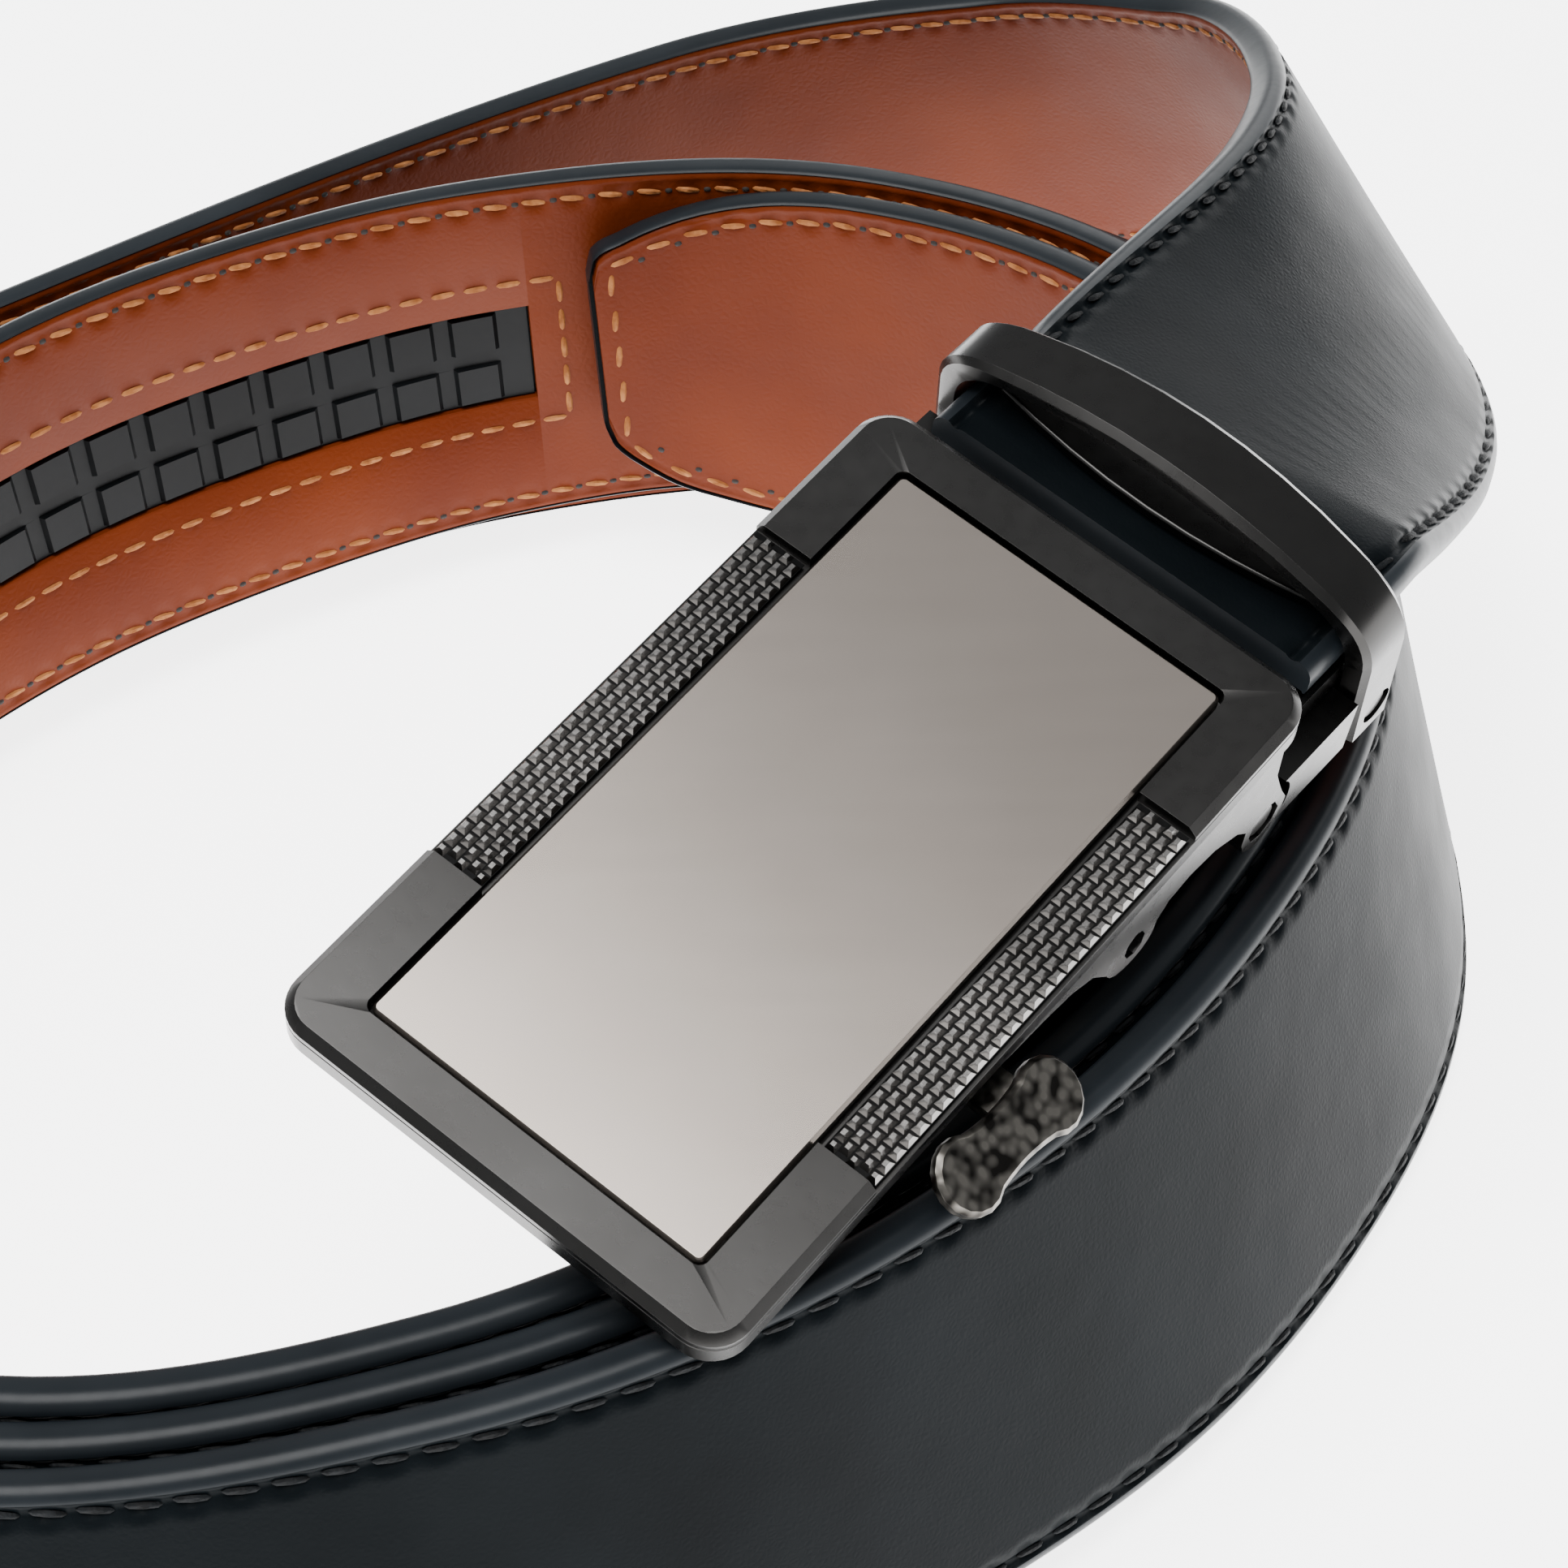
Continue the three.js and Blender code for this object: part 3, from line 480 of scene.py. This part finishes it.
def puckers(nodes, links):
    """How far the leather is drawn in beside each stitch hole, from 0 to -1."""
    along, across = strap_place(nodes, links)
    wave = maths(nodes, links, "MULTIPLY", along, 2 * math.pi / STITCH_PITCH)
    hole = maths(nodes, links, "COSINE", wave)
    hole = maths(nodes, links, "MULTIPLY_ADD", hole, 0.5, 0.5)
    away = maths(nodes, links, "ABSOLUTE", across)
    away = maths(nodes, links, "SUBTRACT", away, HALF - STITCH_INSET)
    away = maths(nodes, links, "ABSOLUTE", away)
    near = maths(nodes, links, "MULTIPLY_ADD", away, -PUCKER_FADE, 1.0)
    near = maths(nodes, links, "MAXIMUM", near, 0.0)
    near = maths(nodes, links, "POWER", near, 2.0)
    drawn = maths(nodes, links, "MULTIPLY", hole, near)
    return maths(nodes, links, "MULTIPLY", drawn, -1.0)


def leather_material(name, dark, light, rough, gloss, grain_scale, grain_strength, pucker_strength):
    material, nodes, links, shader = new_material(name)
    cloud = noise(nodes, links, scale=55.0)
    colour_from(nodes, links, shader, cloud, dark, light, span=(0.3, 0.72))
    patch = noise(nodes, links, scale=160.0, detail=6.0)
    roughness_from(nodes, links, shader, patch, rough)
    shader.inputs["Specular IOR Level"].default_value = gloss
    pores = cells(nodes, links, grain_scale, "DISTANCE_TO_EDGE")
    grain = bump(nodes, links, pores, grain_strength, distance=0.0003)
    waves = noise(nodes, links, scale=95.0, detail=2.0)
    soft = bump(nodes, links, waves, strength=0.18, distance=0.0006, below=grain)
    drawn = bump(nodes, links, puckers(nodes, links), pucker_strength, distance=0.0005, below=soft)
    links.new(drawn, shader.inputs["Normal"])
    return material


def fine_material(name, dark, light, rough, speckle, metallic, gloss=0.5, streak=None, relief=0.06):
    """A smooth, finely speckled finish. A streak is a turn and a scale that draw it out."""
    material, nodes, links, shader = new_material(name)
    cloud = noise(nodes, links, scale=70.0, detail=3.0)
    colour_from(nodes, links, shader, cloud, dark, light, span=(0.3, 0.7))
    shader.inputs["Metallic"].default_value = metallic
    shader.inputs["Specular IOR Level"].default_value = gloss
    source = None
    if streak is not None:
        turn = nodes.new("ShaderNodeMapping")
        turn.inputs["Rotation"].default_value, turn.inputs["Scale"].default_value = streak
        links.new(own_place(nodes), turn.inputs["Vector"])
        source = turn.outputs[0]
    fine = noise(nodes, links, speckle, detail=6.0, source=source)
    roughness_from(nodes, links, shader, fine, rough)
    links.new(bump(nodes, links, fine, relief, distance=0.0002), shader.inputs["Normal"])
    return material


def thread_material(name, dark, light):
    material, nodes, links, shader = new_material(name)
    fibres = noise(nodes, links, scale=900.0, detail=3.0)
    colour_from(nodes, links, shader, fibres, dark, light, span=(0.35, 0.65))
    shader.inputs["Roughness"].default_value = 0.6
    shader.inputs["Specular IOR Level"].default_value = 0.1
    twist = noise(nodes, links, scale=2600.0, detail=2.0)
    twisted = bump(nodes, links, twist, strength=0.5, distance=0.0002)
    links.new(twisted, shader.inputs["Normal"])
    return material


def pebbled_material(name, dark, light):
    material, nodes, links, shader = new_material(name)
    pebbles = cells(nodes, links, 1250.0, "SMOOTH_F1")
    raised = maths(nodes, links, "SUBTRACT", 1.0, pebbles)
    # The colour follows the pebbles' height: lighter on their tops as painted highlight, darker
    # between them as painted shade.
    colour_from(nodes, links, shader, raised, dark, light, span=(0.35, 0.72))
    shader.inputs["Metallic"].default_value = 1.0
    shader.inputs["Roughness"].default_value = 0.3
    pebbled = bump(nodes, links, raised, strength=0.12, distance=0.0003)
    links.new(pebbled, shader.inputs["Normal"])
    return material


LEATHER = leather_material(
    "leather", (0.0016, 0.0024, 0.003), (0.004, 0.0055, 0.0066), rough=(0.3, 0.44), gloss=0.03,
    grain_scale=1900.0, grain_strength=0.08, pucker_strength=0.8,
)
LINING = leather_material(
    "lining", (0.088, 0.0115, 0.0007), (0.122, 0.019, 0.0014), rough=(0.42, 0.58), gloss=0.12,
    grain_scale=1500.0, grain_strength=0.14, pucker_strength=0.7,
)
EDGE_PAINT = fine_material(
    "edge_paint", (0.006, 0.008, 0.010), (0.012, 0.015, 0.018), rough=(0.3, 0.42),
    speckle=900.0, metallic=0.0, gloss=0.16,
)
TRACK = fine_material(
    "track", (0.001, 0.0013, 0.0016), (0.003, 0.0036, 0.0042), rough=(0.34, 0.46),
    speckle=1400.0, metallic=0.0, gloss=0.12,
)
# The stitch holes' dark colour is painted shade: small dark beads stand where the holes are.
PAINTED_HOLE_SHADE = fine_material(
    "painted_stitch_hole_shade", (0.006, 0.004, 0.003), (0.02, 0.012, 0.008), rough=(0.7, 0.9),
    speckle=900.0, metallic=0.0,
)
GUNMETAL = fine_material(
    "gunmetal", (0.032, 0.031, 0.030), (0.042, 0.041, 0.040), rough=(0.24, 0.32),
    speckle=700.0, metallic=1.0, relief=0.02,
)
PLATE = fine_material(
    "plate", (0.285, 0.250, 0.222), (0.305, 0.269, 0.240), rough=(0.25, 0.27),
    speckle=700.0, metallic=1.0, relief=0.0,
    streak=((0, 0, -BUCKLE_TURNS[2] * DEGREE), (0.06, 1.0, 1.0)),
)
# The knurled strips are one metal: the base's near-black is painted shade between the pyramids, and
# the pyramids' bright colour is painted glints.
KNURL_PAINTED_SHADE = fine_material(
    "knurl_base_painted_shade", (0.004, 0.004, 0.004), (0.01, 0.01, 0.01), rough=(0.35, 0.5),
    speckle=1600.0, metallic=1.0,
)
KNURL_PAINTED_GLINT = fine_material(
    "knurl_tip_painted_glint", (0.14, 0.136, 0.132), (0.24, 0.232, 0.224), rough=(0.2, 0.3),
    speckle=1600.0, metallic=1.0,
)
BLACK_THREAD = thread_material("black_thread", (0.001, 0.0012, 0.0015), (0.005, 0.006, 0.007))
TAN_THREAD = thread_material("tan_thread", (0.20, 0.065, 0.016), (0.34, 0.135, 0.045))
# The lever's pebbles carry painted highlight on their tops and painted shade between them.
LEVER = pebbled_material("lever", (0.012, 0.011, 0.010), (0.15, 0.14, 0.125))


# The strap's pieces.

def leather_profile(along):
    """The upper half from the inside lip round the edge to the face, then the lower half."""
    floor = END_FLOOR if along > STRAP_LENGTH - END_SOLID else LINING_FLOOR

    def half(side):
        width = half_width(side, along)
        seam = width - STITCH_INSET
        edge = [(width - LIP_WIDTH, floor)]
        edge += [(width - inset, BACK + rise) for inset, rise in INNER_EDGE]
        for turn in ROUND_TURNS:
            edge.append((
                width - EDGE_RADIUS + EDGE_RADIUS * math.sin(turn * DEGREE),
                FACE - EDGE_RADIUS + EDGE_RADIUS * math.cos(turn * DEGREE),
            ))
        edge += [(seam + across, FACE - depth) for across, depth in SEAM_SECTION]
        return edge + [(width * FLAT_SHARE, FACE)]

    below = [(-across, outward) for across, outward in half(BELOW)]
    return half(ABOVE) + below[::-1]


def strap_leather():
    """The outer leather. Its edges and its two ends are painted."""
    solid_from = STRAP_LENGTH - END_SOLID
    stops = TIP_STOPS + [solid_from, solid_from + END_STEP]
    points, faces, flat = ribbon(0.0, STRAP_LENGTH, stops, leather_profile)
    ring = len(leather_profile(0))
    painted = len(INNER_EDGE) + len(ROUND_TURNS)
    slots = []
    for i in range(len(faces) - 2):
        j = i % ring
        slots.append(int(j < painted or 0 <= ring - 2 - j < painted))
    slots += [1, 1]
    faces = facing_out(points, faces)
    made = new_object("strap_leather", points, faces, [LEATHER, EDGE_PAINT], "strap", slots)
    lay_flat(made, flat)
    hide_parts("strap_outer")


def lining_sheet(low, high, start, end, stops=()):
    """One stretch of lining. A side that is None lies at the strap's edge."""
    def side_section(side, at, sign, along):
        section = WINDOW_EDGE
        if at is None:
            at = sign * (half_width(side, along - LINING_INSET) - LINING_INSET)
            section = LINING_EDGE
        return [(at, LINING_FLOOR - LINING_LIFT)] + [
            (at - sign * inset, BACK + rise) for inset, rise in section
        ]

    def profile(along):
        bottom = side_section(BELOW, low, -1, along)
        return side_section(ABOVE, high, 1, along) + bottom[::-1]

    return ribbon(start, end, stops, profile)


def strap_lining():
    """The lining, in four stretches that leave the track's window open."""
    window = TRACK_WIDTH / 2
    end = STRAP_LENGTH - END_SOLID - LINING_END_GAP
    sheets = (
        lining_sheet(None, None, LINING_INSET, TRACK_START, [s + LINING_INSET for s in TIP_STOPS]),
        lining_sheet(window, None, TRACK_START, TRACK_END),
        lining_sheet(None, -window, TRACK_START, TRACK_END),
        lining_sheet(None, None, TRACK_END, end),
    )
    points, faces, flat = [], [], []
    for sheet_points, sheet_faces, sheet_flat in sheets:
        base = len(points)
        for face in facing_out(sheet_points, sheet_faces):
            faces.append(tuple(base + i for i in face))
        points += sheet_points
        flat += sheet_flat
    made = new_object("lining_leather", points, faces, [LINING], "strap")
    lay_flat(made, flat)
    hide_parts("strap_lining")


def track_strip():
    """Two rows of ramped blocks with a groove between them, in the lining's window."""
    half = TRACK_WIDTH / 2 - TRACK_SIDE_GAP
    rim = half - TRACK_RIM
    back = LINING_FLOOR - TRACK_SINK
    valley = BACK + TOOTH_HEIGHT + VALLEY_RISE
    start, end = TRACK_START + TRACK_END_GAP, TRACK_END - TRACK_END_GAP
    count = int((end - start) / TOOTH_PITCH)
    first = start + (end - start - count * TOOTH_PITCH) / 2
    heights = {
        first + i * TOOTH_PITCH + step: height
        for i in range(count) for step, height in BLOCK_STEPS
    }
    stops = sorted(heights)

    def height_at(along):
        if not stops[0] < along < stops[-1]:
            return 0.0
        low = max(i for i, stop in enumerate(stops) if stop <= along)
        a, b = stops[low], stops[low + 1]
        u = (along - a) / (b - a)
        return heights[a] * (1 - u) + heights[b] * u

    def profile(along):
        height = height_at(along)
        face = valley - height
        slant = BLOCK_SLANT if height > SLANT_FROM else 0.0
        row = [(GROOVE_HALF, valley), (GROOVE_HALF + slant, face), (rim - slant, face)]
        row += [(rim, valley), (half, valley), (half, back)]
        return [(-across, outward) for across, outward in row[::-1]] + row

    points, faces, _ = ribbon(start, end, stops, profile)
    faces = facing_out(points, faces)
    made = new_object("track_strip", points, faces, [TRACK], "strap", smooth=False)
    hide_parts("ratchet_track")


def add_bead(points, faces, place, outward, length, radius, slant):
    """Adds one thread bead at an (along, across, turn) place."""
    along, across, turn = place
    middle, up, out = station_at(along)
    before = station_at(max(along - DIRECTION_STEP, 0))[0]
    after = station_at(min(along + DIRECTION_STEP, STRAP_LENGTH))[0]
    travel = (after - before).normalized()
    angle = (slant + turn) * DEGREE
    run = travel * math.cos(angle) + up * math.sin(angle)
    wide = up * math.cos(angle) - travel * math.sin(angle)
    centre = middle + up * across + out * outward
    lift = out if outward > 0 else -out
    base = len(points)
    for share, thick, rise in BEAD_RINGS:
        for j in range(BEAD_SIDES):
            a = 2 * math.pi * j / BEAD_SIDES
            height = BEAD_FLATNESS * thick * math.sin(a) + rise
            points.append(
                centre + run * (share * length)
                + wide * (radius * thick * math.cos(a)) + lift * (radius * height)
            )
    rings = [base + i * BEAD_SIDES for i in range(len(BEAD_RINGS))]
    for low, high in zip(rings, rings[1:]):
        for j in range(BEAD_SIDES):
            k = (j + 1) % BEAD_SIDES
            faces.append((low + j, low + k, high + k, high + j))
    faces.append(tuple(base + j for j in range(BEAD_SIDES))[::-1])
    faces.append(tuple(rings[-1] + j for j in range(BEAD_SIDES)))


def edge_places():
    """The stitches along both edges, as (along, across, turn)."""
    places = []
    count = int((STRAP_LENGTH - STITCH_END_CLEAR - STITCH_INSET) / STITCH_PITCH)
    for i in range(count):
        along = STITCH_START + i * STITCH_PITCH
        for side, sign in ((ABOVE, 1), (BELOW, -1)):
            here = half_width(side, along)
            there = half_width(side, along + DIRECTION_STEP)
            turn = math.atan2(there - here, DIRECTION_STEP) / DEGREE * sign
            places.append((along, sign * (here - STITCH_INSET), turn))
    return places


def end_places():
    """The stitches across the strap's tip."""
    low = -half_width(BELOW, STITCH_INSET) + STITCH_INSET
    high = half_width(ABOVE, STITCH_INSET) - STITCH_INSET
    count = int((high - low) / STITCH_PITCH)
    return [(STITCH_INSET, low + (high - low) * (i + 0.5) / count, 90.0) for i in range(count)]


def window_places():
    """The stitches round the track's window."""
    places = []
    start, end = TRACK_START - WINDOW_STITCH_PAST, TRACK_END + WINDOW_STITCH_PAST
    count = int((end - start) / WINDOW_STITCH_PITCH)
    for i in range(count):
        along = start + (i + 0.5) * (end - start) / count
        places += [(along, WINDOW_STITCH_ACROSS, 0), (along, -WINDOW_STITCH_ACROSS, 0)]
    count = int(2 * WINDOW_STITCH_ACROSS / WINDOW_STITCH_PITCH)
    for i in range(count):
        at = -WINDOW_STITCH_ACROSS + (i + 0.5) * 2 * WINDOW_STITCH_ACROSS / count
        places += [(start, at, 90), (end, at, 90)]
    return places


def threads(name, places, material, outward, length, radius=STITCH_RADIUS, slant=0.0):
    points, faces = [], []
    for place in places:
        add_bead(points, faces, place, outward, length, radius, slant)
    made = new_object(name, points, faces, [material], "strap")


def stitching():
    edge = edge_places()
    sewn = edge + end_places()
    holes = [(along + STITCH_PITCH / 2, across, turn) for along, across, turn in edge]
    threads(
        "stitches_outside", sewn, BLACK_THREAD,
        outward=FACE - SEAM_DEPTH + 0.12, length=STITCH_LENGTH, slant=STITCH_SLANT,
    )
    threads(
        "stitches_inside", sewn, TAN_THREAD,
        outward=BACK + 0.02, length=STITCH_LENGTH * 0.92, slant=-STITCH_SLANT,
    )
    threads(
        "stitches_window", window_places(), TAN_THREAD,
        outward=BACK - 0.02, length=WINDOW_STITCH_LENGTH,
    )
    # Dark beads on the lining between the tan stitches: painted shade of the stitch holes.
    threads(
        "stitch_holes", holes, PAINTED_HOLE_SHADE,
        outward=BACK + 0.03, length=HOLE_LENGTH, radius=HOLE_RADIUS,
    )


# The buckle's pieces.

def knurl_strip(name, sign, node):
    """Staggered rows of small cut pyramids on a dark strip: the strip's near-black is painted
    shade, and the pyramids' bright metal is painted glints.
    """
    end = KNURL_START + KNURL_LENGTH
    pitch_x = KNURL_LENGTH / KNURL_COLUMNS
    pitch_y = (KNURL_OUTER - KNURL_INNER) / KNURL_ROWS
    reach_x, reach_y = pitch_x * KNURL_HALF_ALONG, pitch_y * KNURL_HALF_ACROSS
    points, faces, slots = [], [], []

    def box(x0, x1, y0, y1, z0, z1, shrink, slot):
        first = len(points)
        corners = ((x0, y0), (x1, y0), (x1, y1), (x0, y1))
        points.extend((x, y, z0) for x, y in corners)
        cx, cy = (x0 + x1) / 2, (y0 + y1) / 2
        points.extend((cx + (x - cx) * shrink, cy + (y - cy) * shrink, z1) for x, y in corners)
        for face in (
            (3, 2, 1, 0), (4, 5, 6, 7), (0, 1, 5, 4), (1, 2, 6, 5), (2, 3, 7, 6), (3, 0, 4, 7),
        ):
            faces.append(tuple(first + i for i in face))
            slots.append(slot)

    # Slot 0, the base, takes the painted shade; slot 1, the pyramids, takes the painted glints.
    box(KNURL_START, end, KNURL_INNER, KNURL_OUTER, KNURL_FOOT, KNURL_FLOOR, 1.0, 0)
    for row in range(KNURL_ROWS):
        for column in range(KNURL_COLUMNS):
            x = KNURL_START + (column + KNURL_STAGGER[row % 2]) * pitch_x
            y = KNURL_INNER + (row + 0.5) * pitch_y
            box(
                max(x - reach_x, KNURL_START), min(x + reach_x, end), y - reach_y, y + reach_y,
                KNURL_FLOOR, KNURL_TOP, KNURL_TIP_SHARE, 1,
            )
    placed = [BUCKLE @ Vector((x, y * sign, z)) for x, y, z in points]
    if sign < 0:
        faces = [tuple(reversed(face)) for face in faces]
    metals = [KNURL_PAINTED_SHADE, KNURL_PAINTED_GLINT]
    made = new_object(name, placed, faces, metals, "buckle", slots, smooth=False)
    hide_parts(node)


def finish_metal(node, material, width):
    """Softens a CAD piece's edges and gives it its finish."""
    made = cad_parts[node]
    made.data.materials.clear()
    made.data.materials.append(material)
    weld = made.modifiers.new("weld", "WELD")
    weld.merge_threshold = WELD_DISTANCE
    bevel = made.modifiers.new("soften", "BEVEL")
    bevel.width = width * MM
    bevel.segments = BEVEL_SEGMENTS
    bevel.limit_method = "ANGLE"
    bevel.angle_limit = BEVEL_ANGLE * DEGREE
    made.data.polygons.foreach_set("use_smooth", [True] * len(made.data.polygons))
    made.modifiers.new("normals", "WEIGHTED_NORMAL")


strap_leather()
strap_lining()
track_strip()
stitching()
knurl_strip("knurls_left", 1, "knurl_strip_left")
knurl_strip("knurls_right", -1, "knurl_strip_right")
for cad_node, finish, edge_width in (
    ("buckle_frame", GUNMETAL, 0.4),
    ("face_plate", PLATE, 0.12),
    ("hinge_pin", GUNMETAL, 0.25),
    ("lever_pin", GUNMETAL, 0.15),
    ("release_lever", LEVER, 0.2),
    ("clamp", GUNMETAL, 0.2),
    ("clamp_plate", GUNMETAL, 0.2),
    ("keeper_loop", GUNMETAL, 0.3),
    ("keeper_screw_left", GUNMETAL, 0.15),
    ("keeper_screw_right", GUNMETAL, 0.15),
):
    finish_metal(cad_node, finish, edge_width)


# The studio, in metres: the floor, the light and the camera.

FLOOR_HALF = 3.0
FLOOR_DROP = 0.0002
FLOOR_GLOW = 4.2
SKY_COLOUR = (0.96, 0.98, 1.0, 1)
SKY_STRENGTH = 0.55
CAMERA_PLACE = Vector((23.275, -265.395, 251.791)) * MM
CAMERA_TILT = 41.5 * DEGREE
CAMERA_ROLL = -3.0 * DEGREE
CAMERA_LENS = 98.76
SENSOR_WIDTH = 36.0
CLIP_NEAR, CLIP_FAR = 0.01, 50


def pale_floor():
    mesh = bpy.data.meshes.new("floor")
    corners = [(x * FLOOR_HALF, y * FLOOR_HALF, 0) for x, y in ((-1, -1), (1, -1), (1, 1), (-1, 1))]
    mesh.from_pydata(corners, [], [(0, 1, 2, 3)])
    material, _, _, shader = new_material("floor")
    shader.inputs["Base Color"].default_value = (0.93, 0.93, 0.93, 1)
    shader.inputs["Emission Color"].default_value = (1, 1, 1, 1)
    shader.inputs["Emission Strength"].default_value = FLOOR_GLOW
    shader.inputs["Roughness"].default_value = 0.9
    shader.inputs["Specular IOR Level"].default_value = 0.1
    mesh.materials.append(material)
    floor = bpy.data.objects.new("floor", mesh)
    bpy.context.scene.collection.objects.link(floor)
    floor.location.z = -FLOOR_DROP


def soft_light(name, place, target, size, power, spin=0.0):
    data = bpy.data.lights.new(name, "AREA")
    data.shape = "RECTANGLE"
    data.size, data.size_y = size
    data.energy = power
    lamp = bpy.data.objects.new(name, data)
    bpy.context.scene.collection.objects.link(lamp)
    lamp.location = place
    aim = (Vector(target) - Vector(place)).to_track_quat("-Z", "Y")
    lamp.rotation_euler = (aim @ Quaternion((0, 0, 1), spin * DEGREE)).to_euler()


def studio():
    world = bpy.data.worlds.new("studio")
    bpy.context.scene.world = world
    world.use_nodes = True
    background = world.node_tree.nodes["Background"]
    background.inputs["Color"].default_value = SKY_COLOUR
    background.inputs["Strength"].default_value = SKY_STRENGTH
    soft_light(
        "overhead", place=(-0.17, -0.18, 0.8), target=(-0.17, -0.1799, 0.0), size=(0.6, 0.6),
        power=13.0, spin=45.0,
    )
    soft_light("back", place=(0.5, 0.9, 0.5), target=(0, 0, 0.03), size=(0.8, 0.5), power=5.0)


def photo_camera():
    """The photograph's camera: tilted down, then rolled about its own line of sight."""
    forward = Vector((0, math.cos(CAMERA_TILT), -math.sin(CAMERA_TILT)))
    level = Vector((1, 0, 0))
    rise = Vector((0, math.sin(CAMERA_TILT), math.cos(CAMERA_TILT)))
    right = level * math.cos(CAMERA_ROLL) + rise * math.sin(CAMERA_ROLL)
    up = -level * math.sin(CAMERA_ROLL) + rise * math.cos(CAMERA_ROLL)
    data = bpy.data.cameras.new("camera")
    data.sensor_width = SENSOR_WIDTH
    data.lens = CAMERA_LENS
    data.clip_start, data.clip_end = CLIP_NEAR, CLIP_FAR
    camera = bpy.data.objects.new("camera", data)
    bpy.context.scene.collection.objects.link(camera)
    columns = Matrix((right, up, -forward)).transposed().to_4x4()
    camera.matrix_world = Matrix.Translation(CAMERA_PLACE) @ columns
    bpy.context.scene.camera = camera


pale_floor()
studio()
photo_camera()
